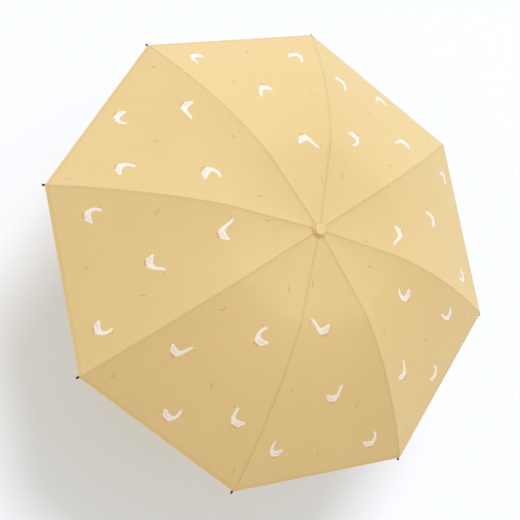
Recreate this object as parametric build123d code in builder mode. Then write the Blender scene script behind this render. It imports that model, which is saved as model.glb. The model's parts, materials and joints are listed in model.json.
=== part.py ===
"""A child's compact umbrella, open: a three-section shaft, eight three-section folding arms and a cloth canopy.

The shaft stands along +Z, and the origin is at the bottom centre of the handle. Lengths are in millimetres.
An arm is described in its own upright plane, as (r, z): r out from the shaft, z up.
"""

import os
from math import atan2, cos, degrees, hypot, radians, sin

from build123d import *

os.makedirs("parts", exist_ok=True)

# Driving dimensions
ARMS = 8
STEP_ANGLE = 360 / ARMS
HALF_ANGLE = STEP_ANGLE / 2
HINGE_Z = 500.0  # height of the hinges in the crown
HINGE_R = 9.0  # radius of both hinge rings
STRETCH_DROP = 60.0  # the runner's hinges below the crown's, with the canopy open
STRETCH_JOINT = 70.0  # from the crown hinge to the stretcher's pivot, along the top rib

# The arm's joints, from the crown hinge's height
ELBOW = (167.0, -13.5)  # top rib to middle rib
WRIST = (300.0, -78.0)  # middle rib to outer rib
TIP = (440.0, -187.0)  # end of the outer rib, at the canopy's corner
MIDDLE_BOW = 5.0
OUTER_BOW = 4.0

# Ribs lie in two layers, one on each side of the arm's plane
LAYER = 1.4
BAR_WIDTH = 2.4
BAR_HEIGHT = 2.2
ROOT_EYE = 1.9
ROOT_HOLE = 1.0
JOINT_EYE = 1.8
PIN_R = 0.8
PIN_HOLE = 0.86
HEAD_R = 1.4
HEAD_THICK = 0.5
PIN_REACH = 4.15  # from the middle of the pin's own layer to its head's inner face
CHANNEL_WIDTH = 1.5
CHANNEL_DEPTH = 1.6
WIRE_R = 0.5
TIP_SLEEVE = 6.0  # length of rib inside its plastic tip
TIP_R = 1.9
TIP_BALL_R = 2.1
TIP_BALL_OUT = 3.4  # the ball's centre past the rib's end

# Shaft: the thickest tube is on top, and each slides down over the next
TUBE_WALL = 0.4
UPPER_R = 5.5
MIDDLE_R = 4.9
LOWER_R = 4.35
SLIDE_TRAVEL = 115.0
TUBE_OVERLAP = 34.0
COLLAR_GAP = 1.0
COLLAR_LIP = 1.5
COLLAR_RUN = 0.08  # running clearance on the tube that slides through a collar
MIDDLE_COLLAR_H = 5.0
UPPER_COLLAR_H = 6.0

# Handle
HANDLE_R = 14.0
HANDLE_TOP = 66.0
HANDLE_CAP_H = 4.0
HANDLE_CAVITY_R = 11.0
HANDLE_CAVITY_TOP = 16.0
TUBE_SEAT_Z = 20.0

# Crown, runner and cap
HUB_R = 11.5
SLOT_IN_R = 6.9
SLOT_WIDTH = 3.0
CROWN_TOP = 2.2
CROWN_BOTTOM = -9.0
RUNNER_TOP = 3.0
RUNNER_SLOT_FLOOR = -2.6
RUNNER_FLANGE_BOTTOM = -6.0
RUNNER_BOTTOM = -32.0
RUNNER_R = 8.5
RUNNER_BORE = 5.6
RUNNER_LIP_R = 10.0
GROOVE_H = 1.2
BUTTON_WIDTH = 5.0
BUTTON_HEIGHT = 8.0
BUTTON_IN = 7.3
BUTTON_OUT = 10.0
BUTTON_Z = -17.0
BUTTON_GAP = 0.1
STEM_R = 2.5

# Canopy
CLOTH_GAP = 2.8
CLOTH_THICK = 0.8
CLOTH_IN_R = 4.0
ARC_STEPS = 4

middle_collar_z = HANDLE_TOP + COLLAR_GAP + SLIDE_TRAVEL
upper_collar_z = middle_collar_z + MIDDLE_COLLAR_H + COLLAR_GAP + SLIDE_TRAVEL
runner_z = HINGE_Z - STRETCH_DROP


def slope_between(start, end):
    """Angle of the line from start to end above the horizontal, in degrees."""
    return degrees(atan2(end[1] - start[1], end[0] - start[0]))


def along(start, angle, distance):
    """The point at a distance from start, in the direction of an angle in degrees."""
    return (start[0] + distance * cos(radians(angle)), start[1] + distance * sin(radians(angle)))


def rib_point(start, end, bow, share):
    """A point on a rib bowed upwards as a parabola, and the rib's slope there in degrees."""
    length = hypot(end[0] - start[0], end[1] - start[1])
    slope = slope_between(start, end)
    chord = along(start, slope, length * share)
    point = along(chord, slope + 90, 4 * bow * share * (1 - share))
    return point, slope + degrees(atan2(4 * bow * (1 - 2 * share), length))


def arm_plane(azimuth, layer=0.0):
    """The upright plane through the shaft at an azimuth, with x outwards and y up, moved to a layer."""
    angle = radians(azimuth)
    plane = Plane(origin=(0, 0, 0), x_dir=(cos(angle), sin(angle), 0), z_dir=(sin(angle), -cos(angle), 0))
    return plane.offset(-layer)


def raised(point):
    """A point given from the crown hinge's height, at its real height."""
    return (point[0], point[1] + HINGE_Z)


def finish(part, name):
    """Labels a piece and writes it."""
    part.label = name
    export_step(part, f"parts/{name}.step")


# Handle: a moulded grip with a pressed-in end cap, round the foot of the lower tube
with BuildPart() as handle_grip:
    Cylinder(HANDLE_R, HANDLE_TOP - HANDLE_CAP_H, align=(Align.CENTER, Align.CENTER, Align.MIN))
    fillet(handle_grip.edges().group_by(Axis.Z)[-1], 5)
    with BuildSketch(Plane.XY):
        Circle(HANDLE_CAVITY_R)
    extrude(amount=HANDLE_CAVITY_TOP - HANDLE_CAP_H, mode=Mode.SUBTRACT)
    with BuildSketch(Plane.XY.offset(TUBE_SEAT_Z - HANDLE_CAP_H)):
        Circle(LOWER_R)
    extrude(amount=HANDLE_TOP, mode=Mode.SUBTRACT)
finish(Pos(0, 0, HANDLE_CAP_H) * handle_grip.part, "handle_grip")

with BuildPart() as handle_end_cap:
    Cylinder(HANDLE_R - 0.4, HANDLE_CAP_H, align=(Align.CENTER, Align.CENTER, Align.MIN))
    fillet(handle_end_cap.edges().group_by(Axis.Z)[0], 2.5)
    with BuildSketch(Plane.XY.offset(HANDLE_CAP_H)):
        Circle(HANDLE_CAVITY_R)
        Circle(HANDLE_CAVITY_R - 2, mode=Mode.SUBTRACT)
    extrude(amount=6)
finish(handle_end_cap.part, "handle_end_cap")


# Shaft tubes and the collars that guide them
def tube(outer_r, bottom, top):
    """A plain tube between two heights."""
    with BuildPart() as body:
        with BuildSketch(Plane.XY.offset(bottom)):
            Circle(outer_r)
            Circle(outer_r - TUBE_WALL, mode=Mode.SUBTRACT)
        extrude(amount=top - bottom)
    return body.part


def collar(bottom, height, seat_r, guide_r, outer_r):
    """A bush pressed on a tube's foot, with a lip that runs on the thinner tube inside."""
    with BuildPart() as body:
        with BuildSketch(Plane.XY.offset(bottom)):
            Circle(outer_r)
        extrude(amount=height)
        chamfer(body.edges().group_by(Axis.Z)[-1], 0.6)
        with BuildSketch(Plane.XY.offset(bottom)):
            Circle(guide_r)
        extrude(amount=height, mode=Mode.SUBTRACT)
        with BuildSketch(Plane.XY.offset(bottom + COLLAR_LIP)):
            Circle(seat_r)
        extrude(amount=height, mode=Mode.SUBTRACT)
    return body.part


finish(tube(LOWER_R, TUBE_SEAT_Z, middle_collar_z + TUBE_OVERLAP), "lower_tube")
finish(tube(MIDDLE_R, middle_collar_z + COLLAR_LIP, upper_collar_z + TUBE_OVERLAP), "middle_tube")
finish(tube(UPPER_R, upper_collar_z + COLLAR_LIP, HINGE_Z - 1), "upper_tube")
finish(
    collar(middle_collar_z, MIDDLE_COLLAR_H, MIDDLE_R, LOWER_R + COLLAR_RUN, MIDDLE_R + 1.6),
    "middle_tube_collar",
)
finish(
    collar(upper_collar_z, UPPER_COLLAR_H, UPPER_R, MIDDLE_R + COLLAR_RUN, UPPER_R + 1.6),
    "upper_tube_collar",
)

# Crown: a notched hub on the shaft's top, with a groove for the ring wire that the top ribs hang on
with BuildPart() as crown:
    with BuildSketch(Plane.XY.offset(HINGE_Z + CROWN_BOTTOM)):
        Circle(HUB_R)
    extrude(amount=CROWN_TOP - CROWN_BOTTOM)
    with BuildSketch(Plane.XY.offset(HINGE_Z + CROWN_BOTTOM)):
        Circle(UPPER_R)
    extrude(amount=-1 - CROWN_BOTTOM, mode=Mode.SUBTRACT)
    with BuildSketch(Plane.XY.offset(HINGE_Z - 1)):
        Circle(STEM_R)
    extrude(amount=CROWN_TOP + 1, mode=Mode.SUBTRACT)
    for arm in range(ARMS):
        with BuildSketch(arm_plane(arm * STEP_ANGLE, -LAYER)):
            with Locations((SLOT_IN_R + HUB_R / 2, HINGE_Z)):
                Rectangle(HUB_R, 30)
        extrude(amount=SLOT_WIDTH / 2, both=True, mode=Mode.SUBTRACT)
    with BuildSketch(Plane.XY.offset(HINGE_Z - GROOVE_H / 2)):
        Circle(HUB_R + 1)
        Circle(HINGE_R - WIRE_R - 0.05, mode=Mode.SUBTRACT)
    extrude(amount=GROOVE_H, mode=Mode.SUBTRACT)
finish(crown.part, "crown")

# Runner: slides on the upper tube, with its own groove and notches for the stretchers
with BuildPart() as runner:
    with BuildSketch(Plane.XY.offset(runner_z + RUNNER_BOTTOM)):
        Circle(RUNNER_R)
    extrude(amount=RUNNER_TOP - RUNNER_BOTTOM)
    with BuildSketch(Plane.XY.offset(runner_z + RUNNER_FLANGE_BOTTOM)):
        Circle(HUB_R)
    extrude(amount=RUNNER_TOP - RUNNER_FLANGE_BOTTOM)
    with BuildSketch(Plane.XY.offset(runner_z + RUNNER_BOTTOM)):
        Circle(RUNNER_LIP_R)
    extrude(amount=4, taper=8)
    for rib_ring in range(3):
        with BuildSketch(Plane.XY.offset(runner_z + RUNNER_BOTTOM + 6 + rib_ring * 1.8)):
            Circle(RUNNER_R + 0.5)
        extrude(amount=0.9)
    with BuildSketch(Plane.XY.offset(runner_z + RUNNER_BOTTOM)):
        Circle(RUNNER_BORE)
    extrude(amount=RUNNER_TOP - RUNNER_BOTTOM, mode=Mode.SUBTRACT)
    for arm in range(ARMS):
        with BuildSketch(arm_plane(arm * STEP_ANGLE, LAYER)):
            with Locations((SLOT_IN_R + HUB_R / 2, runner_z + RUNNER_SLOT_FLOOR + 10)):
                Rectangle(HUB_R, 20)
        extrude(amount=SLOT_WIDTH / 2, both=True, mode=Mode.SUBTRACT)
    with BuildSketch(Plane.XY.offset(runner_z - GROOVE_H / 2)):
        Circle(HUB_R + 1)
        Circle(HINGE_R - WIRE_R - 0.05, mode=Mode.SUBTRACT)
    extrude(amount=GROOVE_H, mode=Mode.SUBTRACT)
    with BuildSketch(arm_plane(-HALF_ANGLE)):
        with Locations((RUNNER_R, runner_z + BUTTON_Z)):
            Rectangle(2 * (RUNNER_R - RUNNER_BORE), BUTTON_HEIGHT + 2 * BUTTON_GAP)
    extrude(amount=BUTTON_WIDTH / 2 + BUTTON_GAP, both=True, mode=Mode.SUBTRACT)
finish(runner.part, "runner")

with BuildPart() as runner_button:
    with BuildSketch(arm_plane(-HALF_ANGLE)):
        with Locations(((BUTTON_IN + BUTTON_OUT) / 2, runner_z + BUTTON_Z)):
            RectangleRounded(BUTTON_OUT - BUTTON_IN, BUTTON_HEIGHT, 0.6)
    extrude(amount=BUTTON_WIDTH / 2, both=True)
finish(runner_button.part, "runner_button")

# Ring wires: the hinge pins shared by all the ribs of a hub
for wire_name, wire_z in (("crown_ring_wire", HINGE_Z), ("runner_ring_wire", runner_z)):
    with BuildPart(Plane.XY.offset(wire_z)) as ring_wire:
        Torus(HINGE_R, WIRE_R)
    finish(ring_wire.part, wire_name)

# Rosette and cap: they clamp the canopy's centre on the crown
ROSETTE_Z = HINGE_Z + 4.15
ROSETTE_THICK = 1.2
with BuildPart() as rosette:
    with BuildSketch(Plane.XY.offset(ROSETTE_Z)):
        Circle(13.2)
        Circle(STEM_R, mode=Mode.SUBTRACT)
    extrude(amount=ROSETTE_THICK)
    fillet(rosette.edges().filter_by(GeomType.CIRCLE).group_by(Axis.Z)[-1].sort_by(SortBy.LENGTH)[-1], 0.8)
finish(rosette.part, "rosette")

with BuildPart() as top_cap:
    with BuildSketch(Plane.XY.offset(ROSETTE_Z + ROSETTE_THICK)):
        Circle(10)
    extrude(amount=3.6)
    fillet(top_cap.edges().group_by(Axis.Z)[-1], 2.4)
    with BuildSketch(Plane.XY.offset(HINGE_Z - 0.5)):
        Circle(STEM_R)
    extrude(amount=ROSETTE_Z + ROSETTE_THICK - HINGE_Z + 0.5)
finish(top_cap.part, "top_cap")


# Arms
def rivet(azimuth, layer, point):
    """A pin fixed in one layer's rib, through the other layer, with a head beyond it."""
    side = 1 if layer > 0 else -1
    with BuildPart() as body:
        with BuildSketch(arm_plane(azimuth, layer)):
            with Locations(raised(point)):
                Circle(PIN_R)
        extrude(amount=side * (PIN_REACH + 0.1))
        with BuildSketch(arm_plane(azimuth, layer - side * PIN_REACH)):
            with Locations(raised(point)):
                Circle(HEAD_R)
        extrude(amount=side * HEAD_THICK)
    return body.part


def stub_head(azimuth, layer, point):
    """A rivet's head alone, on the outer face of a rib."""
    side = 1 if layer > 0 else -1
    with BuildPart() as body:
        with BuildSketch(arm_plane(azimuth, layer + side * BAR_WIDTH / 2)):
            with Locations(raised(point)):
                Circle(HEAD_R)
        extrude(amount=-side * HEAD_THICK)
    return body.part


def straight_rib(azimuth, layer, start, end, far_eye):
    """A pressed channel between a ring-wire eye and a rivet eye, open underneath."""
    length = hypot(end[0] - start[0], end[1] - start[1])
    slope = slope_between(start, end)
    middle = along(start, slope, length / 2)
    channel = along(middle, slope - 90, BAR_HEIGHT / 2 - 0.3)
    with BuildPart() as body:
        with BuildSketch(arm_plane(azimuth, layer)):
            with Locations(raised(middle)):
                Rectangle(length, BAR_HEIGHT, rotation=slope)
            with Locations(raised(start)):
                Circle(ROOT_EYE)
            with Locations(raised(end)):
                Circle(JOINT_EYE)
            with Locations(raised(start)):
                Circle(ROOT_HOLE, mode=Mode.SUBTRACT)
            if far_eye:
                with Locations(raised(end)):
                    Circle(PIN_HOLE, mode=Mode.SUBTRACT)
        extrude(amount=BAR_WIDTH / 2, both=True)
        with BuildSketch(arm_plane(azimuth, layer)):
            with Locations(raised(channel)):
                Rectangle(length - 12, CHANNEL_DEPTH, rotation=slope)
        extrude(amount=CHANNEL_WIDTH / 2, both=True, mode=Mode.SUBTRACT)
    return body.part


def bowed_rib(azimuth, layer, start, end, bow, far_eye):
    """A bar bent to an arc, with a rivet eye at its start and a plain or eyed end."""
    crest = rib_point(start, end, bow, 0.5)[0]
    with BuildPart() as body:
        with BuildSketch(arm_plane(azimuth, layer)):
            with BuildLine():
                ThreePointArc(raised(start), raised(crest), raised(end))
            trace(line_width=BAR_HEIGHT)
            with Locations(raised(start)):
                Circle(JOINT_EYE)
            if far_eye:
                with Locations(raised(end)):
                    Circle(JOINT_EYE)
            with Locations(raised(start)):
                Circle(PIN_HOLE, mode=Mode.SUBTRACT)
        extrude(amount=BAR_WIDTH / 2, both=True)
    return body.part


tip_slope = rib_point(WRIST, TIP, OUTER_BOW, 1.0)[1]
tip_start = along(TIP, tip_slope, -TIP_SLEEVE)
stretcher_root = (HINGE_R, -STRETCH_DROP)
top_root = (HINGE_R, 0.0)
stretcher_end = along(top_root, slope_between(top_root, ELBOW), STRETCH_JOINT)

for arm in range(ARMS):
    azimuth = arm * STEP_ANGLE
    number = arm + 1
    top_rib = straight_rib(azimuth, -LAYER, top_root, ELBOW, far_eye=False)
    top_rib += rivet(azimuth, -LAYER, ELBOW)
    top_rib += stub_head(azimuth, -LAYER, stretcher_end)
    finish(top_rib, f"top_rib_{number}")

    stretcher = straight_rib(azimuth, LAYER, stretcher_root, stretcher_end, far_eye=False)
    stretcher += stub_head(azimuth, LAYER, stretcher_end)
    finish(stretcher, f"stretcher_{number}")

    middle_rib = bowed_rib(azimuth, LAYER, ELBOW, WRIST, MIDDLE_BOW, far_eye=True)
    middle_rib += rivet(azimuth, LAYER, WRIST)
    finish(middle_rib, f"middle_rib_{number}")

    outer_rib = bowed_rib(azimuth, -LAYER, WRIST, TIP, OUTER_BOW, far_eye=False)
    finish(outer_rib, f"outer_rib_{number}")

    tip_frame = Plane(
        origin=arm_plane(azimuth, -LAYER).from_local_coords(Vector(*raised(tip_start), 0)),
        z_dir=arm_plane(azimuth).from_local_coords(Vector(cos(radians(tip_slope)), sin(radians(tip_slope)), 0)),
    )
    with BuildPart(tip_frame) as rib_tip:
        Cylinder(TIP_R, TIP_SLEEVE + TIP_BALL_OUT, align=(Align.CENTER, Align.CENTER, Align.MIN))
        with Locations((0, 0, TIP_SLEEVE + TIP_BALL_OUT)):
            Sphere(TIP_BALL_R)
        add(outer_rib, mode=Mode.SUBTRACT)
    finish(rib_tip.part, f"rib_tip_{number}")


# Canopy: eight gores, each in three panels that meet at its fold lines
def cloth_line(start, end, bow, steps, height):
    """Points at a height above a rib, square to it, from its start to its end."""
    points = []
    for step in range(steps + 1):
        point, slope = rib_point(start, end, bow, step / steps)
        points.append(along(point, slope + 90, height))
    return points


def halfway(first, second):
    """The point midway between two points."""
    return ((first[0] + second[0]) / 2, (first[1] + second[1]) / 2)


def canopy_sections(height):
    """The canopy's line over an arm at a height above the ribs, in three stretches that share their ends."""
    inner_start = along(top_root, slope_between(top_root, ELBOW), CLOTH_IN_R - HINGE_R)
    inner = cloth_line(inner_start, ELBOW, 0, 1, height)
    middle = cloth_line(ELBOW, WRIST, MIDDLE_BOW, ARC_STEPS, height)
    outer = cloth_line(WRIST, TIP, OUTER_BOW, ARC_STEPS, height)
    elbow = halfway(inner[-1], middle[0])
    wrist = halfway(middle[-1], outer[0])
    return [inner[:-1] + [elbow], [elbow] + middle[1:-1] + [wrist], [wrist] + outer[1:]]


def panel(azimuth, under, over):
    """A stretch of one gore: its section run straight across the gore and trimmed to the gore's wedge."""
    reach = TIP[0] + 20
    outline = [(r * cos(radians(HALF_ANGLE)), z + HINGE_Z) for r, z in under + over[::-1]]
    with BuildPart() as body:
        with BuildSketch(arm_plane(azimuth)):
            with BuildLine():
                Polyline(*outline, close=True)
            make_face()
        extrude(amount=reach * sin(radians(HALF_ANGLE)), both=True)
        with BuildSketch(Plane.XY.offset(HINGE_Z + TIP[1] - 20)):
            with BuildLine():
                Polyline(
                    (0, 0),
                    (reach * cos(radians(azimuth - HALF_ANGLE)), reach * sin(radians(azimuth - HALF_ANGLE))),
                    (reach * cos(radians(azimuth + HALF_ANGLE)), reach * sin(radians(azimuth + HALF_ANGLE))),
                    close=True,
                )
            make_face()
        extrude(amount=20 - TIP[1] + 20, mode=Mode.INTERSECT)
    return body.part


panels = []
for gore in range(ARMS):
    for under, over in zip(canopy_sections(CLOTH_GAP), canopy_sections(CLOTH_GAP + CLOTH_THICK)):
        panels += panel((gore + 0.5) * STEP_ANGLE, under, over).solids()
finish(Compound(children=panels), "canopy")
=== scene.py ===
import json

import bpy
import numpy as np
from mathutils import Matrix, Vector


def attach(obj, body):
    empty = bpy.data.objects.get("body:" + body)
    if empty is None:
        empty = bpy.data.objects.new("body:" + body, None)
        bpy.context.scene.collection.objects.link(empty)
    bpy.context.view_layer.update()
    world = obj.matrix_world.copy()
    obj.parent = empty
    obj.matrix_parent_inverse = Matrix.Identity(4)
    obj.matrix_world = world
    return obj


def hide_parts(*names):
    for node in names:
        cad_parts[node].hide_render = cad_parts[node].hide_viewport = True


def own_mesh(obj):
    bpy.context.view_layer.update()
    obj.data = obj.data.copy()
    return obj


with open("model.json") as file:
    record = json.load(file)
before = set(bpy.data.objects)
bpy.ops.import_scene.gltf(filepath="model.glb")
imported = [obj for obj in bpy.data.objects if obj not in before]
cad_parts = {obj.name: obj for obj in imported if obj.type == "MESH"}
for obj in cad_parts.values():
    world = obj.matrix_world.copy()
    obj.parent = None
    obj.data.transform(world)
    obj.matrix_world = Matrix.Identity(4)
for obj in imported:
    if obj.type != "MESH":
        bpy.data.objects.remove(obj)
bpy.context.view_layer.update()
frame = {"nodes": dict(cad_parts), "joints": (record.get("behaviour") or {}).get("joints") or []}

# ---------------------------------------------------------------------------------------------
# Camera: it looks down on the open canopy from beside it, turned so that the shaft leans to the
# right. The line of sight meets the shaft half way up.
EYE = Vector((-0.1158, -1.2598, 2.7518))
LOOK_AT = Vector((0.0, 0.0, 0.2515))
ROLL = np.radians(63.27)
camera_data = bpy.data.cameras.new("camera")
camera_data.sensor_width = 36.0
camera_data.lens = 104.3
camera = bpy.data.objects.new("camera", camera_data)
bpy.context.scene.collection.objects.link(camera)
aim = (LOOK_AT - EYE).to_track_quat("-Z", "Y").to_matrix().to_4x4()
camera.matrix_world = Matrix.Translation(EYE) @ aim @ Matrix.Rotation(ROLL, 4, "Z")
bpy.context.scene.camera = camera


# ---------------------------------------------------------------------------------------------
# Floor and light: a white studio floor, even white light all round, and one wide soft lamp that
# stands behind and to the left, so that the near right side of the canopy is in half shade.
def place(tree, kind, sockets=None, **settings):
    """Adds a shader node, sets its properties, and fills its inputs with values or links."""
    node = tree.nodes.new(kind)
    for name, value in settings.items():
        setattr(node, name, value)
    for name, value in (sockets or {}).items():
        if isinstance(value, bpy.types.NodeSocket):
            tree.links.new(value, node.inputs[name])
        else:
            node.inputs[name].default_value = value
    return node


def maths(tree, operation, *values, clamp=False):
    """One step of arithmetic, on numbers and links."""
    sockets = dict(enumerate(values))
    return place(tree, "ShaderNodeMath", sockets, operation=operation, use_clamp=clamp).outputs[0]


def ranged(tree, value, low, high, start=0.0, end=1.0):
    """A straight ramp: start where the value is low, end where it is high, and level past them."""
    limits = {"Value": value, "From Min": low, "From Max": high, "To Min": start, "To Max": end}
    return place(tree, "ShaderNodeMapRange", limits).outputs["Result"]


def mixed(tree, factor, first, second):
    """From the first colour, at a factor of 0, to the second, at 1."""
    sockets = {"Factor": factor, "A": first, "B": second}
    return place(tree, "ShaderNodeMix", sockets, data_type="RGBA").outputs["Result"]


def colour(red, green, blue):
    """A colour given as it looks on a screen, from 0 to 255, as the light that it stands for."""
    part = np.array((red, green, blue)) / 255.0
    light = np.where(part <= 0.04045, part / 12.92, ((part + 0.055) / 1.055) ** 2.4)
    return (*light.tolist(), 1.0)


def new_material(name):
    """An empty material and its node tree, with the output and one Principled shader joined."""
    material = bpy.data.materials.new(name)
    material.use_nodes = True
    tree = material.node_tree
    tree.nodes.clear()
    surface = place(tree, "ShaderNodeBsdfPrincipled")
    place(tree, "ShaderNodeOutputMaterial", {"Surface": surface.outputs["BSDF"]})
    return material, tree, surface


FLOOR_HALF = 60.0
FLOOR_TINT = (0.81, 0.86, 0.99, 1.0)
FLOOR_GLOW = 0.12
LAMP_AZIMUTH = np.radians(138)
LAMP_HEIGHT = np.radians(56)
LAMP_ANGLE = np.radians(24)
LAMP_STRENGTH = 1.45
LAMP_COLOUR = (1.0, 0.99, 0.97)
SKY_STRENGTH = 0.66
SKY_LEAN = 0.22  # how much stronger the sky is on the lamp's side, as a share
SKY_TINT = (0.98, 1.0, 1.0, 1.0)
WARM_TINT = (1.12, 0.95, 0.62, 1.0)
WARM_FROM, WARM_TO = 0.1, -0.7  # the sky turns warm between these leans, away from the lamp
HORIZON_LOW, HORIZON_HIGH = 0.02, 0.25  # the horizon's glow fades between these heights
HORIZON_GLOW = 1.1
floor_mesh = bpy.data.meshes.new("floor")
floor_corners = np.array(((-1, -1, 0), (1, -1, 0), (1, 1, 0), (-1, 1, 0))) * FLOOR_HALF
floor_mesh.from_pydata(floor_corners.tolist(), [], [(0, 1, 2, 3)])
floor = bpy.data.objects.new("floor", floor_mesh)
bpy.context.scene.collection.objects.link(floor)
floor_material, floor_tree, floor_surface = new_material("studio_floor")
floor_surface.inputs["Base Color"].default_value = FLOOR_TINT
floor_surface.inputs["Roughness"].default_value = 0.9
floor_surface.inputs["Emission Color"].default_value = (1.0, 1.0, 1.0, 1.0)
floor_surface.inputs["Emission Strength"].default_value = FLOOR_GLOW
# The floor is clear from below, so that the ribs can be looked at from there.
under = place(floor_tree, "ShaderNodeNewGeometry").outputs["Backfacing"]
clear = place(floor_tree, "ShaderNodeBsdfTransparent").outputs["BSDF"]
one_sided = place(
    floor_tree, "ShaderNodeMixShader", {0: under, 1: floor_surface.outputs["BSDF"], 2: clear}
)
floor_output = next(node for node in floor_tree.nodes if node.type == "OUTPUT_MATERIAL")
floor_tree.links.new(one_sided.outputs["Shader"], floor_output.inputs["Surface"])
floor_mesh.materials.append(floor_material)

world = bpy.data.worlds.new("studio")
world.use_nodes = True
sky_tree = world.node_tree
sky = sky_tree.nodes["Background"]
toward = place(sky_tree, "ShaderNodeTexCoord").outputs["Generated"]
lamp_side = (np.cos(LAMP_AZIMUTH), np.sin(LAMP_AZIMUTH), 0.0)
lean = place(
    sky_tree, "ShaderNodeVectorMath", {0: toward, 1: lamp_side}, operation="DOT_PRODUCT"
).outputs["Value"]
leaning = maths(sky_tree, "MULTIPLY_ADD", lean, SKY_LEAN * SKY_STRENGTH, SKY_STRENGTH)
height = place(sky_tree, "ShaderNodeSeparateXYZ", {0: toward}).outputs["Z"]
horizon = ranged(sky_tree, height, HORIZON_LOW, HORIZON_HIGH, 1.0, 0.0)
glow = place(
    sky_tree, "ShaderNodeMix", {"Factor": horizon, "A": leaning, "B": HORIZON_GLOW}, data_type="FLOAT"
).outputs["Result"]
warmth = mixed(sky_tree, ranged(sky_tree, lean, WARM_FROM, WARM_TO), SKY_TINT, WARM_TINT)
sky_tree.links.new(warmth, sky.inputs["Color"])
sky_tree.links.new(glow, sky.inputs["Strength"])
bpy.context.scene.world = world
lamp_data = bpy.data.lights.new("soft_lamp", "SUN")
lamp_data.energy = LAMP_STRENGTH
lamp_data.angle = LAMP_ANGLE
lamp_data.color = LAMP_COLOUR
lamp = bpy.data.objects.new("soft_lamp", lamp_data)
bpy.context.scene.collection.objects.link(lamp)
to_lamp = Vector(
    (
        np.cos(LAMP_HEIGHT) * np.cos(LAMP_AZIMUTH),
        np.cos(LAMP_HEIGHT) * np.sin(LAMP_AZIMUTH),
        np.sin(LAMP_HEIGHT),
    )
)
lamp.matrix_world = to_lamp.to_track_quat("Z", "Y").to_matrix().to_4x4()
bpy.context.scene.view_settings.view_transform = "Standard"


# ---------------------------------------------------------------------------------------------
# Handle: a straight moulded grip with a fine sandy skin, and an end cap pressed into its foot.
# Both are injection-moulded plastic in the canopy's own warm tone.
MARK_STRETCH = (900.0, 900.0, 70.0)  # handling marks are long and run along a piece
WORN_FROM, WORN_TO = 0.62, 0.80
PARTING_FULL, PARTING_GONE = 0.00006, 0.00022  # from the middle of the mould's parting line; its groove and painted shade are full and gone at these


def noise(tree, where, scale, detail):
    """Soft random patches, from 0 to 1."""
    return place(
        tree, "ShaderNodeTexNoise", {"Vector": where, "Scale": scale, "Detail": detail}
    ).outputs["Fac"]


def scaled(tint, share):
    """A colour made darker or lighter by a share, up to full white."""
    return (*[min(1.0, share * part) for part in tint[:3]], 1.0)


def bumped(tree, surface, height, strength, distance):
    """Gives a surface a grain that stands up where the height is large."""
    bump = place(tree, "ShaderNodeBump", {"Height": height, "Strength": strength, "Distance": distance})
    tree.links.new(bump.outputs["Normal"], surface.inputs["Normal"])


def moulded(name, tint, roughness, grain, pitch, parting=False):
    """Moulded plastic: a fine sandy skin, with its gloss and colour varying slightly over it, a few
    faint handling marks, and, where asked for, the fine groove that the mould's halves leave, with
    painted shade darkening its colour."""
    material, tree, surface = new_material(name)
    where = place(tree, "ShaderNodeTexCoord").outputs["Object"]
    rubbed = place(tree, "ShaderNodeMapping", {"Vector": where, "Scale": MARK_STRETCH})
    patches = noise(tree, where, 45.0, 4.0)
    marks = noise(tree, rubbed.outputs["Vector"], 1.0, 3.0)
    height = noise(tree, where, pitch, 2.0)
    look = mixed(tree, patches, scaled(tint, 0.86), scaled(tint, 1.06))
    gloss = ranged(tree, patches, 0.0, 1.0, roughness - 0.06, roughness + 0.06)
    worn = maths(tree, "MULTIPLY_ADD", ranged(tree, marks, WORN_FROM, WORN_TO), 0.12, gloss)
    if parting:
        # The parting line is a fine groove in the bump, and painted shade darkens the colour along it.
        across = place(tree, "ShaderNodeSeparateXYZ", {0: where}).outputs["X"]
        line = ranged(tree, maths(tree, "ABSOLUTE", across), PARTING_FULL, PARTING_GONE, 1.0, 0.0)
        look = mixed(tree, line, look, scaled(tint, 0.72))
        height = maths(tree, "MULTIPLY_ADD", line, -3.0, height)
    tree.links.new(look, surface.inputs["Base Color"])
    tree.links.new(worn, surface.inputs["Roughness"])
    bumped(tree, surface, height, grain, 0.0002)
    surface.inputs["IOR"].default_value = 1.5
    return material


def dress(material, *names):
    """Gives CAD nodes a material."""
    for name in names:
        mesh = frame["nodes"][name].data
        mesh.materials.clear()
        mesh.materials.append(material)


GRIP_TINT = colour(224, 194, 138)
END_CAP_TINT = colour(208, 174, 114)
grip_plastic = moulded("grip_plastic", GRIP_TINT, roughness=0.46, grain=0.9, pitch=1500.0, parting=True)
end_cap_plastic = moulded("end_cap_plastic", END_CAP_TINT, roughness=0.38, grain=0.3, pitch=2600.0)
dress(grip_plastic, "handle_grip")
dress(end_cap_plastic, "handle_end_cap")


# ---------------------------------------------------------------------------------------------
# Shaft: three drawn steel tubes, nickel plated, with faint draw lines along them. A black nylon
# collar is pressed on the foot of each of the two that slide.
TUBE_GRAIN = (4200.0, 4200.0, 12.0)  # stretched along the tube
EVEN_GRAIN = (900.0, 900.0, 900.0)


def drawn_metal(name, tint, roughness, stretch):
    """Plated metal with fine lines, stretched along the way it was drawn, and faint smudges."""
    material, tree, surface = new_material(name)
    where = place(tree, "ShaderNodeTexCoord").outputs["Object"]
    drawn = place(tree, "ShaderNodeMapping", {"Vector": where, "Scale": stretch}).outputs["Vector"]
    smudges = noise(tree, where, 60.0, 3.0)
    gloss = ranged(tree, smudges, 0.0, 1.0, roughness - 0.05, roughness + 0.1)
    surface.inputs["Base Color"].default_value = tint
    surface.inputs["Metallic"].default_value = 1.0
    tree.links.new(gloss, surface.inputs["Roughness"])
    bumped(tree, surface, noise(tree, drawn, 1.0, 2.0), 0.12, 0.0001)
    return material


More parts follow.
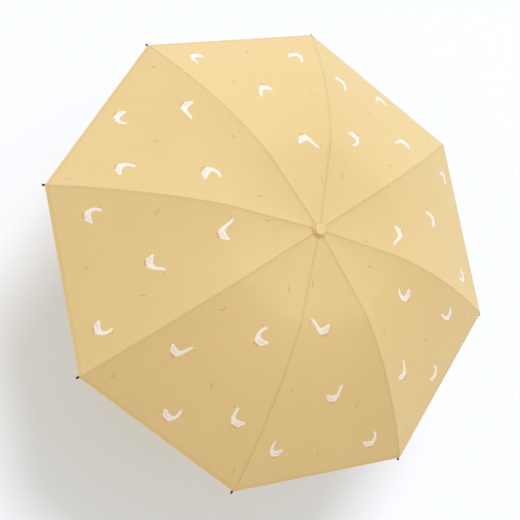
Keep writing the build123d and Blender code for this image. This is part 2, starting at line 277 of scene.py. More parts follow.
nickel = drawn_metal("nickel_tube", colour(214, 214, 212), roughness=0.2, stretch=TUBE_GRAIN)
black_nylon = moulded("black_nylon", colour(38, 38, 40), roughness=0.42, grain=0.4, pitch=3000.0)
dress(nickel, "lower_tube", "middle_tube", "upper_tube")
dress(black_nylon, "middle_tube_collar", "upper_tube_collar")

# ---------------------------------------------------------------------------------------------
# Hubs: the crown and the runner are black acetal, glossy, and notched for the ribs. A plated ring
# wire lies in each one's groove. The runner's button is moulded in the handle's colour.
black_acetal = moulded("black_acetal", colour(30, 30, 32), roughness=0.28, grain=0.25, pitch=2200.0)
ring_wire = drawn_metal("ring_wire_steel", colour(190, 190, 190), roughness=0.3, stretch=EVEN_GRAIN)
button_plastic = moulded("button_plastic", colour(224, 192, 132), roughness=0.3, grain=0.2, pitch=2600.0)
dress(black_acetal, "crown", "runner")
dress(ring_wire, "crown_ring_wire", "runner_ring_wire")
dress(button_plastic, "runner_button")

# ---------------------------------------------------------------------------------------------
# Arms: the top ribs and stretchers are folded steel channels, the middle ribs steel bars, and the
# outer ribs black glass-fibre bars that bend with the cloth. Each outer rib ends in a black tip.
ARMS = range(1, 9)
rib_steel = drawn_metal("rib_steel", colour(150, 151, 153), roughness=0.34, stretch=EVEN_GRAIN)
fibre = moulded("black_fibre", colour(34, 34, 37), roughness=0.4, grain=0.5, pitch=5200.0)
tip_black = moulded("tip_black", colour(20, 20, 21), roughness=0.22, grain=0.1, pitch=2600.0)
for arm in ARMS:
    dress(rib_steel, f"top_rib_{arm}", f"stretcher_{arm}", f"middle_rib_{arm}")
    dress(fibre, f"outer_rib_{arm}")
    dress(tip_black, f"rib_tip_{arm}")

# ---------------------------------------------------------------------------------------------
# Canopy cloth, its line over a rib: the cloth lies a little above the ribs' middle line, runs
# straight over the top rib, and bows with the middle and outer ribs to the hem.
joint_at = {j["name"]: np.array(j["pos_m"]) for j in frame["joints"] if "pos_m" in j}
CLOTH_HEIGHT = 0.0032  # the cloth's middle above the ribs' middle line
CLOTH_THICK = 0.0005
MIDDLE_BOW = 0.005
OUTER_BOW = 0.004
RIB_END_R = 0.440
RIB_DROP = 0.187  # from the crown's hinges down to the ribs' ends
RIB_END = np.array((RIB_END_R, joint_at["top_hinge_1"][2] - RIB_DROP))
HEM_R = 0.4403
CENTRE_R = 0.010  # where the gores start, under the centre patch
LINE_START = 0.009  # how far inside the crown's hinge the rib's line is drawn on
RIB_SOFTENING = 0.008  # over how long a stretch the cloth rounds off a rib's joint
MIDDLE_SOFTENING = 0.020  # the same, half way between two ribs


def bowed(start, end, bow, count=400):
    """Points on a parabola from start to end that rises to bow above the straight line."""
    share = np.linspace(0.0, 1.0, count)[:, None]
    chord = end - start
    square = np.array((-chord[1], chord[0])) / np.linalg.norm(chord)
    return start + share * chord + 4 * bow * share * (1 - share) * square


def length_along(points):
    """The distance along a line of points, from its start to each point."""
    return np.concatenate(([0.0], np.cumsum(np.linalg.norm(np.diff(points, axis=0), axis=1))))


hinge = joint_at["top_hinge_1"][[0, 2]]
elbow = joint_at["elbow_1"][[0, 2]]
wrist = joint_at["wrist_1"][[0, 2]]
inward = (hinge - elbow) / np.linalg.norm(hinge - elbow)
rib_line = np.concatenate(
    (
        bowed(hinge + LINE_START * inward, elbow, 0.0),
        bowed(elbow, wrist, MIDDLE_BOW)[1:],
        bowed(wrist, RIB_END, OUTER_BOW)[1:],
    )
)
heading = np.gradient(rib_line, axis=0)
heading /= np.linalg.norm(heading, axis=1)[:, None]
lifted = rib_line + CLOTH_HEIGHT * heading[:, ::-1] * (-1, 1)
STEP = 0.0005
steps = np.arange(0.0, length_along(lifted)[-1], STEP)
even = np.stack([np.interp(steps, length_along(lifted), lifted[:, k]) for k in (0, 1)], axis=1)


def softened(softening):
    """The cloth's line over a rib, its corners rounded by a bell-shaped average of that width."""
    reach = int(4 * softening / STEP)
    bell = np.exp(-0.5 * (np.arange(-reach, reach + 1) * STEP / softening) ** 2)
    ramp = np.arange(reach, 0, -1)[:, None]
    padded_line = np.concatenate(
        (even[0] - ramp * (even[1] - even[0]), even, even[-1] + ramp[::-1] * (even[-1] - even[-2]))
    )
    return np.stack([np.convolve(padded_line[:, k], bell / bell.sum(), "valid") for k in (0, 1)], axis=1)


cloth_line = softened(RIB_SOFTENING)
cloth_line = cloth_line[(cloth_line[:, 0] >= CENTRE_R) & (cloth_line[:, 0] <= HEM_R)]
slack_line = softened(MIDDLE_SOFTENING)

# ---------------------------------------------------------------------------------------------
# Canopy cloth, its surface: eight gores of thin woven polyester, sewn along the ribs. Between two
# ribs the cloth is pulled straight across and dips slightly; its hem is straight from tip to tip.
HALF_ANGLE = np.radians(22.5)
gore_line = cloth_line * (np.cos(HALF_ANGLE), 1.0)  # the line down a gore's middle
gore_length = length_along(gore_line)
HEM_AT = gore_length[-1]
DIP = 0.0045
HEM_WIDTH = 0.007
HEM_LIFT = 0.00025
HEM_STEP = 0.0008  # how wide the step up to the hem is
RIDGE_LIFT, RIDGE_AT, RIDGE_HALF = 0.0002, 0.0026, 0.0014  # the swelling beside a seam
PUCKER = 0.0004
PUCKER_RAYS = 16
PUCKER_START = 0.01  # from a corner to where its puckers are full
PUCKER_FADE = 0.055
TURN_RADIUS = 0.00045  # of the cloth's middle, where an edge is turned under
SEAM_GAP = 0.00027  # from the rib's plane to the cloth's middle at a seam
SEAM_ALLOWANCE = 0.0035


def relief(from_rib, from_hem, share, down):
    """How far the cloth stands above the plain straight-across surface, in metres.
    It dips as a parabola across the gore, swells in a narrow bell beside the seam, steps up over
    the folded hem, and puckers in rays that fade away from the tip."""
    dip = -DIP * np.sin(np.pi * np.clip(down, 0, 1)) * share * (2 - share)
    ridge = RIDGE_LIFT * np.exp(-(((from_rib - RIDGE_AT) / RIDGE_HALF) ** 2))
    hem = HEM_LIFT * np.clip((HEM_WIDTH - from_hem) / HEM_STEP, 0, 1)
    away = np.hypot(from_rib, from_hem) + 1e-6
    ray = np.sin(PUCKER_RAYS * np.arctan2(from_rib, from_hem + 1e-6)) * np.exp(-away / PUCKER_FADE)
    return dip + ridge + hem + PUCKER * ray * np.clip(away / PUCKER_START, 0, 1)


def turned_edge(width):
    """A cloth edge turned under: from its raw end to where the upper face starts, the distances
    in from the fold, the heights against the upper face, and the cloth's own distances to the
    start of the upper face. It runs flat, then round half a circle."""
    bend = np.linspace(np.pi, 0.0, 6)
    inward = np.concatenate(((width,), TURN_RADIUS * (1 - np.sin(bend))))
    height = np.concatenate(((-2 * TURN_RADIUS,), TURN_RADIUS * (np.cos(bend) - 1)))
    spent = np.concatenate(((width + (np.pi - 1) * TURN_RADIUS,), TURN_RADIUS * bend))
    return inward, height, spent


END_ROWS = np.array((0.0, 0.0003, 0.001, 0.0022, 0.004))  # rows close to a panel's end
HEM_ROWS = np.array((0.011, 0.0078, 0.007, 0.0062, 0.004, 0.002))  # rows close to the hem
ROW_SPACING = 0.0038
CUT_LEAN = 0.76  # 0 is a cut along the gore's threads, and 1 is one square to the rib in plan
SEAM_FOLD = 3  # the column that lies in the fold of a seam
COLUMNS = 30
CROWDING = 1.7  # above 1, the columns lie closer together near the rib
CORNER_SHARE = 0.3  # how much of the second turn a corner takes, where hem and seam meet


def half_gore(arm, side, first, last):
    """The points of one half gore between two radii on its rib, as (rows, columns, 3), and the
    cloth's flat coordinates there: across and down the gore, and from the seam and the hem.
    It is cut nearly square to the rib at its joints, as the cloth creases there, or ends in the
    hem. Side is 1 to the left of the rib seen from the shaft, and -1 to its right. A column
    keeps its share of the way from the rib to the gore's middle. The rib's edge is turned
    under as a seam."""
    seam_in, seam_down, seam_cloth = turned_edge(SEAM_ALLOWANCE)
    share = np.concatenate((np.zeros(len(seam_in)), np.linspace(0.0, 1.0, COLUMNS + 1)[1:] ** CROWDING))
    cut = 1 / (1 - CUT_LEAN * share * np.sin(HALF_ANGLE) ** 2)  # a cut's radius, against the rib's
    at_hem = last == HEM_R
    begins = first * cut if first > CENTRE_R else np.full_like(share, first)
    ends = np.full_like(share, HEM_R - HEM_ROWS[0]) if at_hem else last * cut
    count = int(np.ceil((last - first) / ROW_SPACING)) + 1
    even_rows = np.linspace(0.0, 1.0, count)[:, None] * (ends - begins) + begins
    near_first = begins + END_ROWS[1:, None]
    near_last = ends - END_ROWS[1:, None]
    radius = np.sort(np.concatenate((even_rows, near_first, near_last)), axis=0)
    under_row = np.zeros(len(radius))
    cloth_past = np.zeros(len(radius))  # how much more cloth there is to a row than its place shows
    if at_hem:
        inward, sunk, spent = (x[::-1] for x in turned_edge(HEM_WIDTH))
        flat_rows = HEM_R - HEM_ROWS[1:]
        radius = np.concatenate((radius, np.repeat(flat_rows[:, None], len(share), axis=1)))
        radius = np.concatenate((radius, np.repeat((HEM_R - inward)[:, None], len(share), axis=1)))
        flat_count = len(radius) - len(inward)
        under_row = np.concatenate((np.zeros(flat_count), sunk))
        cloth_past = np.concatenate((np.zeros(flat_count), spent - TURN_RADIUS + inward))
    down = np.interp(radius, cloth_line[:, 0], gore_length)
    half_width = radius * np.sin(HALF_ANGLE)
    start = SEAM_GAP + TURN_RADIUS
    from_rib = start + (half_width - start) * share
    from_rib[:, : len(seam_in)] = np.minimum(SEAM_GAP + seam_in, half_width[:, :1])
    from_middle = half_width - from_rib
    sunk_column = np.concatenate((seam_down, np.zeros(COLUMNS)))
    both = np.broadcast_arrays(sunk_column, under_row[:, None])
    turned = np.minimum(*both) + CORNER_SHARE * np.maximum(*both)
    taut = np.interp(radius, cloth_line[:, 0], cloth_line[:, 1])
    slack = np.interp(radius, slack_line[:, 0], slack_line[:, 1])
    middle = np.radians(45.0 * (arm - 1)) + side * HALF_ANGLE
    out = np.array((np.cos(middle), np.sin(middle)))
    left = np.array((-np.sin(middle), np.cos(middle)))
    points = np.empty((*radius.shape, 3))
    points[..., :2] = (radius * np.cos(HALF_ANGLE))[..., None] * out
    points[..., :2] -= side * from_middle[..., None] * left
    points[..., 2] = taut + (slack - taut) * share * (2 - share) + turned
    points[..., 2] += relief(from_rib, HEM_AT - down, share, down / HEM_AT)
    own_across = from_middle.copy()
    own_across[:, : len(seam_in)] = half_width[:, :1] - start + seam_cloth
    own_down = down + cloth_past[:, None]
    print_at = np.stack((-side * own_across, own_down), axis=2)
    edges = np.stack((half_width - SEAM_GAP - own_across, HEM_AT - own_down), axis=2)
    return points, print_at, edges


def sheet_mesh(name, points, maps, flip):
    """A mesh of a grid of points, with its faces turned over where flip is set, and UV maps.
    Its outer edges are sharp, so that its thickness doesn't shade its face."""
    rows, columns = points.shape[:2]
    index = np.arange(rows * columns).reshape(rows, columns)
    quads = np.stack((index[:-1, :-1], index[1:, :-1], index[1:, 1:], index[:-1, 1:]), axis=2)
    quads = quads.reshape(-1, 4)
    if flip:
        quads = quads[:, ::-1]
    mesh = bpy.data.meshes.new(name)
    mesh.from_pydata(points.reshape(-1, 3).tolist(), [], quads.tolist())
    for map_name, values in maps.items():
        layer = mesh.uv_layers.new(name=map_name)
        layer.data.foreach_set("uv", values.reshape(-1, 2)[quads.ravel()].astype(np.float32).ravel())
    mesh.polygons.foreach_set("use_smooth", np.ones(len(quads), bool))
    ends = np.empty(2 * len(mesh.edges), np.int32)
    mesh.edges.foreach_get("vertices", ends)
    ways = zip(np.divmod(ends.reshape(-1, 2), columns), (rows, columns))
    outer = np.any([(way == end).all(1) for way, count in ways for end in (0, count - 1)], axis=0)
    sharp = mesh.attributes.new("sharp_edge", "BOOLEAN", "EDGE")
    sharp.data.foreach_set("value", outer)
    return mesh


# ---------------------------------------------------------------------------------------------
# Canopy print: plain white geese and small grey-green sprigs, printed on the cloth. Both motifs
# are put together from rounded strokes, in millimetres, and each gore carries one of two layouts.
def stroke_group():
    """The signed distance to a stroke with round ends: from a start, along a span, and as thick as
    a radius that changes by a taper towards its end."""
    group = bpy.data.node_groups.new("stroke", "ShaderNodeTree")
    for name, kind in (
        ("Point", "NodeSocketVector"),
        ("Start", "NodeSocketVector"),
        ("Span", "NodeSocketVector"),
        ("Span Squared Inverse", "NodeSocketFloat"),
        ("Radius", "NodeSocketFloat"),
        ("Taper", "NodeSocketFloat"),
    ):
        group.interface.new_socket(name, in_out="INPUT", socket_type=kind)
    group.interface.new_socket("Distance", in_out="OUTPUT", socket_type="NodeSocketFloat")
    given = group.nodes.new("NodeGroupInput").outputs

    def step(operation, sockets):
        """One step of arithmetic on points."""
        return place(group, "ShaderNodeVectorMath", sockets, operation=operation).outputs

    apart = step("SUBTRACT", {0: given["Point"], 1: given["Start"]})[0]
    dot = step("DOT_PRODUCT", {0: apart, 1: given["Span"]})["Value"]
    share = maths(group, "MULTIPLY", dot, given["Span Squared Inverse"], clamp=True)
    foot = step("SCALE", {0: given["Span"], "Scale": share})[0]
    gap = step("DISTANCE", {0: apart, 1: foot})["Value"]
    thick = maths(group, "MULTIPLY_ADD", share, given["Taper"], given["Radius"])
    place(group, "NodeGroupOutput", {"Distance": maths(group, "SUBTRACT", gap, thick)})
    return group


STROKE = stroke_group()
EDGE = 0.35  # the print's soft edge, in millimetres


def stroke(tree, point, start, end, radius, end_radius):
    """The distance to one stroke, between two points in the motif's own millimetres."""
    span = np.subtract(end, start)
    node = tree.nodes.new("ShaderNodeGroup")
    node.node_tree = STROKE
    tree.links.new(point, node.inputs["Point"])
    node.inputs["Start"].default_value = (*start, 0.0)
    node.inputs["Span"].default_value = (*span.tolist(), 0.0)
    node.inputs["Span Squared Inverse"].default_value = 1.0 / max(float(span @ span), 1e-6)
    node.inputs["Radius"].default_value = radius
    node.inputs["Taper"].default_value = end_radius - radius
    return node.outputs["Distance"]


def inked(tree, point, shape, softness):
    """Full inside a shape and none outside, with a soft edge. The shape is the union of its
    strokes, with its inner corners filled to a softness in millimetres."""
    distances = [stroke(tree, point, *line) for line in shape]
    total = distances[0]
    for distance in distances[1:]:
        total = maths(tree, "SMOOTH_MIN", total, distance, softness)
    return maths(tree, "MULTIPLY_ADD", total, -1.0 / EDGE, 0.5, clamp=True)


GOOSE_BODY = (
    ((-11.5, -1.5), (-4, -7), 2.6, 5.6),
    ((-4, -7), (3, -7.4), 5.6, 5.4),
    ((3, -7.4), (8.2, -1.8), 5.4, 3.3),
    ((8.2, -1.8), (10.6, 6), 3.3, 2.3),
    ((10.6, 6), (11.4, 13.5), 2.3, 2.1),
    ((11.4, 13.5), (12.6, 16.4), 2.1, 2.9),
)
GOOSE_ORANGE = (
    ((15, 16.6), (19, 16), 1.5, 0.7),
    ((-3, -12), (-3.8, -16), 0.8, 0.8),
    ((2, -12.4), (2, -16.4), 0.8, 0.8),
    ((-3.8, -16.2), (-0.8, -17), 1.0, 0.8),
    ((2, -16.6), (5, -17.2), 1.0, 0.8),
)
GOOSE_GREY = (
    ((-9, -3), (-4, -7), 0.5, 0.5),
    ((-4, -7), (2, -6.4), 0.5, 0.4),
    ((-8, -6), (-4, -9.4), 0.45, 0.4),
    ((-3.5, -10), (1.5, -9.4), 0.45, 0.4),
)
GOOSE_EYE = (((13.2, 17), (13.2, 17.1), 0.75, 0.75),)
SPRIG = (
    ((0.2, -4), (0.8, 3), 0.55, 0.45),
    ((0.8, 3), (-2.2, 4.6), 0.7, 0.4),
    ((0.4, -1), (2.2, 0.8), 0.6, 0.4),
)
GOOSE = (
    (GOOSE_ORANGE, 0.3, colour(235, 148, 92), 0.95),
    (GOOSE_BODY, 2.5, colour(247, 242, 243), 0.97),
    (GOOSE_GREY, 0.2, colour(196, 192, 208), 0.8),
    (GOOSE_EYE, 0.1, colour(70, 66, 84), 0.95),
)
SPRIG_GREEN = colour(160, 154, 122)


def nearest_place(tree, flat, places, size):
    """The cloth's coordinates in the own millimetres of the nearest printed motif, and its bend.
    A place is (across, down, turn in degrees, side it faces, bend)."""
    best, best_far, bend = None, None, None
    for across, down, turn, facing, lean in places:
        own = place(
            tree,
            "ShaderNodeMapping",
            {
                "Vector": flat,
                "Location": (across, down, 0.0),
                "Rotation": (0.0, 0.0, np.radians(turn)),
                "Scale": (0.001 * facing * size, -0.001 * size, 1.0),
            },
            vector_type="TEXTURE",
        ).outputs["Vector"]
        far = place(tree, "ShaderNodeVectorMath", {0: own}, operation="LENGTH").outputs["Value"]
        if best is None:
            best, best_far = own, far
            bend = place(tree, "ShaderNodeValue").outputs[0]
            bend.default_value = lean
            continue
        nearer = maths(tree, "LESS_THAN", far, best_far)
        points = {"Factor": nearer, "A": best, "B": own}
        bends = {"Factor": nearer, "A": bend, "B": lean}
        best = place(tree, "ShaderNodeMix", points, data_type="VECTOR").outputs["Result"]
        bend = place(tree, "ShaderNodeMix", bends, data_type="FLOAT").outputs["Result"]
        best_far = maths(tree, "MINIMUM", best_far, far)
    return best, bend


def bent(tree, point, bend):
    """Leans a motif's neck: a point moves sideways by the bend times its height squared."""
    parts = place(tree, "ShaderNodeSeparateXYZ", {0: point}).outputs
    above = maths(tree, "MAXIMUM", parts["Y"], 0.0)
    shift = maths(tree, "MULTIPLY", maths(tree, "MULTIPLY", above, above), bend)
    moved = maths(tree, "SUBTRACT", parts["X"], shift)
    return place(tree, "ShaderNodeCombineXYZ", {"X": moved, "Y": parts["Y"]}).outputs[0]


def down_at(radius):
    """The distance down a gore's middle at which the rib line is at a radius, in metres."""
    return float(np.interp(radius, cloth_line[:, 0], gore_length))


ODD_GEESE = (
    (-0.020, down_at(0.176), -10, -1, 0.014),
    (0.006, down_at(0.300), 6, 1, 0.004),
    (-0.097, down_at(0.380), 8, -1, -0.018),
    (0.095, down_at(0.396), -6, 1, -0.014),
)
EVEN_GEESE = (
    (0.026, down_at(0.222), 6, -1, -0.018),
    (-0.073, down_at(0.317), 4, 1, 0.012),
    (0.086, down_at(0.348), -8, -1, -0.004),
    (-0.008, down_at(0.403), 6, 1, -0.016),
)
ODD_SPRIGS = (
    (-0.030, down_at(0.098), 20, 1, 0),
    (-0.077, down_at(0.282), -35, 1, 0),
    (0.057, down_at(0.326), 15, -1, 0),
    (-0.012, down_at(0.403), 40, 1, 0),
)
EVEN_SPRIGS = (
    (0.013, down_at(0.127), -20, 1, 0),
    (-0.058, down_at(0.225), 25, 1, 0),
    (0.013, down_at(0.331), -40, -1, 0),
    (-0.128, down_at(0.410), 10, 1, 0),
    (0.142, down_at(0.416), -15, 1, 0),
)


# ---------------------------------------------------------------------------------------------
# Canopy cloth, its finish: fine plain weave with a slight sheen, painted shade where the cloth rolls
# under into each seam's fold, and a turned hem with a row of stitches. The print shows faintly on the
# inner face.
SPRIG_SIZE = 1.25
PAINTED_SEAM_SHADE_WIDTH = 0.0009  # how far from the seam's fold its painted shade has faded
HEM_FADE = 0.0004
HEM_ROW = 0.0055  # from the hem to its stitches
SEAM_ROW = 0.0026  # from the seam to its stitches
STITCH_HALF = 0.0003
STITCH_PITCH = 0.003
WEAVE_PITCH = 0.00045
WEAVE_DEPTH = 0.00005
CLOTH_GLOSS = (0.58, 0.74)  # its roughness varies between these
# How dark a line is against the cloth, and how strongly it is laid on. The seam's line is painted shade
# in its fold.
PAINTED_SEAM_SHADE, PAINTED_SEAM_SHADE_STRENGTH = 0.62, 0.35
STITCH_SHADE, STITCH_STRENGTH = 0.8, 0.7
HEM_STRENGTH = 0.7
SPRIG_STRENGTH = 0.55
STITCH_HEIGHT = 2.5  # against the weave's


def ink(tree, base, amount, tint, strength):
    """A colour over another, where the amount is full, and as strong as a share."""
    return mixed(tree, maths(tree, "MULTIPLY", amount, strength), base, tint)


def ripples(tree, distance, pitch):
    """A sine wave along a distance, once every pitch."""
    return maths(tree, "SINE", maths(tree, "MULTIPLY", distance, 2 * np.pi / pitch))


def stitches(tree, distance, row, along):
    """A row of stitches: a narrow band at one distance, broken into dashes along another."""
    off = maths(tree, "ABSOLUTE", maths(tree, "SUBTRACT", distance, row))
    band = ranged(tree, off, STITCH_HALF, 2 * STITCH_HALF, 1.0, 0.0)
    dashes = ranged(tree, ripples(tree, along, STITCH_PITCH), -0.5, 0.1)
    return maths(tree, "MULTIPLY", band, dashes)


def cloth(name, geese, sprigs, ground, print_strength):
    """Printed polyester cloth, for one layout of the print and one face of the cloth."""
    material, tree, surface = new_material(name)
    flat = place(tree, "ShaderNodeUVMap", uv_map="print").outputs["UV"]
    edges = place(tree, "ShaderNodeUVMap", uv_map="edges").outputs["UV"]
    at = place(tree, "ShaderNodeSeparateXYZ", {0: flat}).outputs
    edge = place(tree, "ShaderNodeSeparateXYZ", {0: edges}).outputs
    look = mixed(tree, noise(tree, flat, 7.0, 3.0), scaled(ground, 0.965), scaled(ground, 1.03))

    if geese:
        own, bend = nearest_place(tree, flat, geese, 1.0)
        goose_at = bent(tree, own, bend)
        for shape, softness, tint, strength in GOOSE:
            amount = inked(tree, goose_at, shape, softness)
            look = ink(tree, look, amount, tint, strength * print_strength)
        sprig_at, _ = nearest_place(tree, flat, sprigs, SPRIG_SIZE)
        leaves = inked(tree, sprig_at, SPRIG, 0.4)
        look = ink(tree, look, leaves, SPRIG_GREEN, SPRIG_STRENGTH * print_strength)

    # Painted shade: the cloth darkens where it rolls under into the seam's fold and just beside it.
    seam = ranged(tree, edge["X"], 0.0, PAINTED_SEAM_SHADE_WIDTH, 1.0, 0.0)
    look = ink(tree, look, seam, scaled(ground, PAINTED_SEAM_SHADE), PAINTED_SEAM_SHADE_STRENGTH)
    hem = ranged(tree, edge["Y"], HEM_WIDTH - HEM_FADE, HEM_WIDTH, 1.0, 0.0)
    warm = (ground[0], 0.93 * ground[1], 0.8 * ground[2], 1.0)
    look = ink(tree, look, hem, warm, HEM_STRENGTH)
    hem_row = stitches(tree, edge["Y"], HEM_ROW, at["X"])
    seam_row = stitches(tree, edge["X"], SEAM_ROW, at["Y"])
    stitched = maths(tree, "MAXIMUM", hem_row, seam_row)
    look = ink(tree, look, stitched, scaled(ground, STITCH_SHADE), STITCH_STRENGTH)
    tree.links.new(look, surface.inputs["Base Color"])

    threads = [ripples(tree, at[axis], WEAVE_PITCH) for axis in ("X", "Y")]
    height = maths(tree, "MULTIPLY_ADD", stitched, STITCH_HEIGHT, maths(tree, "MULTIPLY", *threads))
    bumped(tree, surface, height, 0.25, WEAVE_DEPTH)
    gloss = ranged(tree, noise(tree, flat, 120.0, 3.0), 0.0, 1.0, *CLOTH_GLOSS)
    tree.links.new(gloss, surface.inputs["Roughness"])
    surface.inputs["Subsurface Weight"].default_value = 0.08
    surface.inputs["Subsurface Radius"].default_value = (1.0, 0.55, 0.22)
    surface.inputs["Subsurface Scale"].default_value = 0.0016
    surface.inputs["Sheen Weight"].default_value = 0.12
    surface.inputs["Sheen Roughness"].default_value = 0.45
    surface.inputs["Specular IOR Level"].default_value = 0.3
    return material


GROUND = (0.76, 0.582, 0.285, 1.0)
INNER_GROUND = (0.76, 0.60, 0.34, 1.0)
INNER_PRINT = 0.3
LAYOUTS = (("cloth_even", EVEN_GEESE, EVEN_SPRIGS), ("cloth_odd", ODD_GEESE, ODD_SPRIGS))
CLOTHS = [
    (cloth(name, *print_of, GROUND, 1.0), cloth(f"{name}_inside", *print_of, INNER_GROUND, INNER_PRINT))
    for name, *print_of in LAYOUTS
]


# ---------------------------------------------------------------------------------------------
# Canopy cloth, its panels: each half gore is sewn to its rib and folds with it, so it is laid out in
# panels, one to each part of the rib and a short one next to the crown. The direction and plane that a
# panel would gather to, as the runner comes down, are worked out for each panel but not used.
UP = np.array((0.0, 0.0, 1.0))
RISE_SHARE = 0.8  # where the gathered cloth lies: 0 is at the seam's end, and 1 at its highest
CROWN_PART = 0.046  # the radius to which the cloth stays spread round the crown when it is folded
# Each panel's name, its rib, the radii it runs between, and the share of its width it gathers to
SECTIONS = (
    ("crown", "top_rib", CENTRE_R, CROWN_PART, 0.46),
    ("top", "top_rib", CROWN_PART, elbow[0], 0.16),
    ("middle", "middle_rib", elbow[0], wrist[0], 0.10),
    ("outer", "outer_rib", wrist[0], HEM_R, 0.116),
)


def solid_sheet(piece, thickness):
    """Gives a sheet its thickness, half on each side, with the inner face's own material."""
    wall = piece.modifiers.new("thickness", "SOLIDIFY")
    wall.thickness = thickness
    wall.offset = 0.0
    wall.material_offset = 1


def gathering(points):
    """The direction in which a panel gathers, and a point of the plane that it gathers to. The
    direction lies in the panel and square to its seam, and the plane is near the seam's fold."""
    along = points[-1, 0] - points[0, 0]
    along /= np.linalg.norm(along)
    aside = points[-1, -1] - points[-1, 0]
    aside -= along * (aside @ along)
    aside /= np.linalg.norm(aside)
    upright = UP - along[2] * along
    upright /= np.linalg.norm(upright)
    fold = points[:, SEAM_FOLD]
    rise = (fold - fold[0]) @ upright
    return tuple(aside), tuple(fold[0] + RISE_SHARE * rise.max() * upright)


for arm in ARMS:
    for side, word in ((1, "left"), (-1, "right")):
        gore = (arm - 1 if side > 0 else arm - 2) % 8
        for panel, part, first, last, gathered in SECTIONS:
            points, print_at, edges = half_gore(arm, side, first, last)
            name = f"canopy_{panel}_{arm}_{word}"
            mesh = sheet_mesh(name, points, {"print": print_at, "edges": edges}, side < 0)
            for face in CLOTHS[gore % 2]:
                mesh.materials.append(face)
            piece = bpy.data.objects.new(name, mesh)
            bpy.context.scene.collection.objects.link(piece)
            solid_sheet(piece, CLOTH_THICK)
            aside, anchor = gathering(points)
            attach(piece, f"{part}_{arm}")
            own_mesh(piece)
            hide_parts("canopy")

# ---------------------------------------------------------------------------------------------
# Canopy centre: a round patch of the same cloth covers the gores' inner ends, and a small round
# patch with a bound edge, the rosette, lies on it. The top cap's stem holds both down on the crown.
BOUND_EDGE = 0.0025  # how much closer to its hem a patch's edge is shaded, as it is bound
NO_SEAM_NEAR = 0.05
# Inner and outer radius, height, waves, rolled radius, thickness, and the node it stands for
PATCHES = (
    ("canopy_centre_patch", 0.003, 0.0135, 0.5037, 0.0, 0.0001, 0.0004, "canopy"),
    ("rosette_patch", 0.0026, 0.0130, 0.5046, 0.0001, 0.0003, 0.0005, "rosette"),
)


def round_patch(name, inner, outer, height, lift, rolled):
    """A ring of cloth. It lifts in eight shallow waves that grow with the square of the way out,
    and its outer edge curls down along a quarter of a circle of the rolled radius."""
    bend = np.linspace(0.2, 1.5, 6)
    radii = np.concatenate((np.linspace(inner, outer - rolled, 8), outer - rolled * (1 - np.sin(bend))))
    r, a = np.meshgrid(radii, np.linspace(0.0, 2 * np.pi, 97), indexing="ij")
    share = (r - inner) / (outer - inner)
    curl = np.clip((r - outer + rolled) / rolled, 0, 0.999)
    wave = lift * share**2 * (0.5 + 0.5 * np.cos(8 * a))
    z = height + wave - rolled * (1 - np.sqrt(1 - curl**2))
    points = np.stack((r * np.cos(a), r * np.sin(a), z), axis=2)
    edges = np.stack((np.full_like(r, NO_SEAM_NEAR), BOUND_EDGE + outer - r), axis=2)
    print_at = np.stack((r * a * 0.5, r), axis=2)
    return sheet_mesh(name, points, {"print": print_at, "edges": edges}, False)


patch_cloth = (cloth("patch_cloth", (), (), GROUND, 0.0), CLOTHS[0][1])
for name, inner, outer, height, lift, rolled, thick, stands_for in PATCHES:
    mesh = round_patch(name, inner, outer, height, lift, rolled)
    for face in patch_cloth:
        mesh.materials.append(face)
    patch = bpy.data.objects.new(name, mesh)
    bpy.context.scene.collection.objects.link(patch)
    solid_sheet(patch, thick)
    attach(patch, "upper_shaft")
    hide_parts(stands_for)
cap_plastic = moulded("cap_plastic", colour(236, 208, 150), roughness=0.42, grain=0.25, pitch=2600.0)
dress(cap_plastic, "top_cap")

# ---------------------------------------------------------------------------------------------
# Ties: the seams are held to the ribs by short windings of polyester thread, two to a rib, and each
# gore corner is sewn to a rib tip by a winding round the tip's sleeve.
THREAD_R = 0.00022
THREAD_PITCH = 0.00046


def winding(centre, along, wide, tall, half_wide, half_tall, turns):
    """The points of a thread wound on an oval: rings of six points round a screw line, whose oval
    has the given half width and half height and lies square to the direction along."""
    count = 20 * turns + 1
    turn = np.linspace(0.0, 2 * np.pi * turns, count)
    advance = THREAD_PITCH * (turn / (2 * np.pi) - turns / 2)
    spoke = np.cos(turn)[:, None] * wide / half_wide + np.sin(turn)[:, None] * tall / half_tall
    spoke /= np.linalg.norm(spoke, axis=1)[:, None]
    line = centre + advance[:, None] * along
    line = line + half_wide * np.cos(turn)[:, None] * wide + half_tall * np.sin(turn)[:, None] * tall
    ring = np.linspace(0.0, 2 * np.pi, 7)[:-1]
    return line[:, None] + THREAD_R * (
        np.cos(ring)[None, :, None] * spoke[:, None] + np.sin(ring)[None, :, None] * along
    )


def thread_mesh(name, windings):
    """One mesh of several windings, each a tube with closed ends."""
    corners, faces, base = [], [], 0
    for rings in windings:
        count, sides = rings.shape[:2]
        index = base + np.arange(count * sides).reshape(count, sides)
        after = np.roll(index, -1, axis=1)
        quads = np.stack((index[:-1], after[:-1], after[1:], index[1:]), axis=2).reshape(-1, 4)
        corners.append(rings.reshape(-1, 3))
        faces += quads.tolist() + [index[0, ::-1].tolist(), index[-1].tolist()]
        base += count * sides
    mesh = bpy.data.meshes.new(name)
    mesh.from_pydata(np.concatenate(corners).tolist(), [], faces)
    mesh.polygons.foreach_set("use_smooth", np.ones(len(faces), bool))
    return mesh


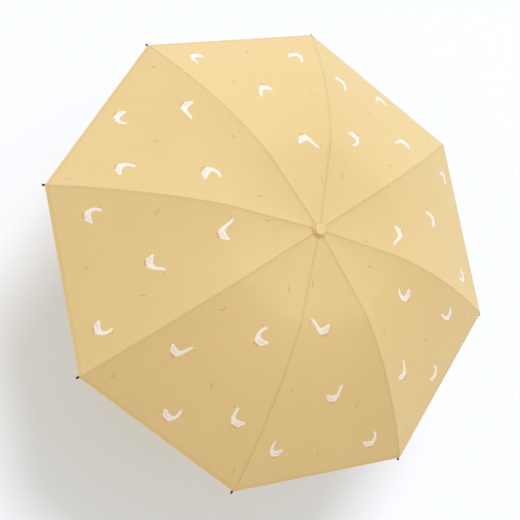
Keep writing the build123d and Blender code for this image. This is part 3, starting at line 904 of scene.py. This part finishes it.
def thread_material(name, tint):
    """Twisted polyester thread: fine slanting plies and a soft sheen."""
    material, tree, surface = new_material(name)
    where = place(tree, "ShaderNodeTexCoord").outputs["Object"]
    plies = place(
        tree,
        "ShaderNodeTexWave",
        {"Vector": where, "Scale": 900.0, "Distortion": 1.5},
        bands_direction="DIAGONAL",
    ).outputs["Fac"]
    tree.links.new(mixed(tree, plies, scaled(tint, 0.7), tint), surface.inputs["Base Color"])
    bumped(tree, surface, plies, 0.5, 0.0001)
    surface.inputs["Roughness"].default_value = 0.7
    surface.inputs["Sheen Weight"].default_value = 0.2
    return material


def tied(out, wide, spot, slope, layer, lift, oval, turns):
    """A winding round a rib, at a spot of its side view, where the rib runs along a slope. Its
    middle stands aside from the arm's plane by a layer, and is lifted off the rib's middle."""
    slope = slope / np.linalg.norm(slope)
    along = slope[0] * out + slope[1] * UP
    tall = -slope[1] * out + slope[0] * UP
    centre = spot[0] * out + spot[1] * UP + layer * wide + lift * tall
    return winding(centre, along, wide, tall, *oval, turns)


cloth_thread = thread_material("cloth_thread", colour(214, 180, 116))
TIE_OVAL = (0.00145, 0.00190)  # half a tie's width and height, round a rib and the seam on it
TIE_LIFT = 0.00055
TIP_OVAL = (0.00215, 0.00230)  # the same, round a tip's sleeve
TIP_TIE_IN = 0.0022  # from the rib's end to the middle of its tip's tie
# Each rib, its two ends and its bow, where along it the ties are, and how far it stands aside
TIES = (
    ("top_rib", hinge, elbow, 0.0, (0.26, 0.74), -0.0014),
    ("middle_rib", elbow, wrist, MIDDLE_BOW, (0.3, 0.7), 0.0014),
    ("outer_rib", wrist, RIB_END, OUTER_BOW, (0.3, 0.62), -0.0014),
)
for arm in ARMS:
    turn = np.radians(45.0 * (arm - 1))
    out = np.array((np.cos(turn), np.sin(turn), 0.0))
    wide = np.array((-np.sin(turn), np.cos(turn), 0.0))
    for part, start, end, bow, shares, layer in TIES:
        rib = bowed(start, end, bow)
        spots = [int(share * (len(rib) - 1)) for share in shares]
        windings = [
            tied(out, wide, rib[spot], rib[spot + 1] - rib[spot], layer, TIE_LIFT, TIE_OVAL, 4)
            for spot in spots
        ]
        if part == "outer_rib":
            slope = (end - start) / np.linalg.norm(end - start)
            spot = end - TIP_TIE_IN * slope
            windings.append(tied(out, wide, spot, slope, layer, 0.0, TIP_OVAL, 3))
        ties = bpy.data.objects.new(f"ties_{part}_{arm}", thread_mesh(f"ties_{part}_{arm}", windings))
        bpy.context.scene.collection.objects.link(ties)
        ties.data.materials.append(cloth_thread)
        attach(ties, f"{part}_{arm}")
